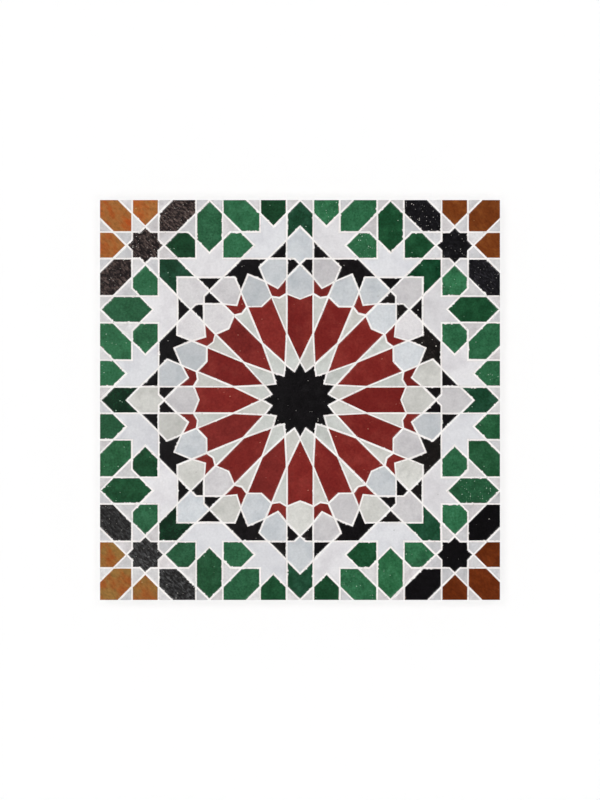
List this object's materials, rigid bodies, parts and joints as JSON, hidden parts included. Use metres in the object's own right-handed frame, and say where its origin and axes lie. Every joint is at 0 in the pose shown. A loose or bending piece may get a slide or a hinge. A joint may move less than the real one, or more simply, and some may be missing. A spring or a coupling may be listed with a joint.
{
  "type": "moroccan mosaic tile",
  "caption": "Square zellige panel: hand-cut glazed clay pieces round a star rosette, set flush in a white mortar bed with narrow joints.",
  "frame": {"origin": "middle of the mortar back, on the surface that the panel lies on", "axes": "+Z out of the glazed face, +X and +Y along the sides of the square"},
  "size_m": [0.4, 0.4, 0.02],
  "materials": {
    "black_glaze": "glossy",
    "red_glaze": "glossy",
    "white_glaze": "glossy",
    "grey_glaze": "glossy",
    "green_glaze": "glossy",
    "dark_green_glaze": "glossy",
    "amber_glaze": "glossy",
    "mortar": "matte"
  },
  "bodies": {
    "root": {"centre_star": "black_glaze", "inner_kites": "grey_glaze", "petals": "red_glaze", "outer_kites": "grey_glaze", "crowns": "red_glaze", "inner_hexagons": "white_glaze", "outer_hexagons": "white_glaze", "crow_feet": "black_glaze", "wedges": "black_glaze", "rim_points": "white_glaze", "rim_triangles": "black_glaze", "chevrons": "dark_green_glaze", "field_arrows": "white_glaze", "field_forks": "white_glaze", "field_pentagons": "green_glaze", "field_darts": "grey_glaze", "upright_hexagons": "green_glaze", "green_slanted_hexagons": "green_glaze", "black_slanted_hexagons": "black_glaze", "edge_pentagons": "green_glaze", "edge_triangles": "grey_glaze", "corner_stars": "black_glaze", "star_kites": "grey_glaze", "amber_sides": "amber_glaze", "amber_corners": "amber_glaze", "mortar_bed": "mortar"}
  },
  "joints": []
}
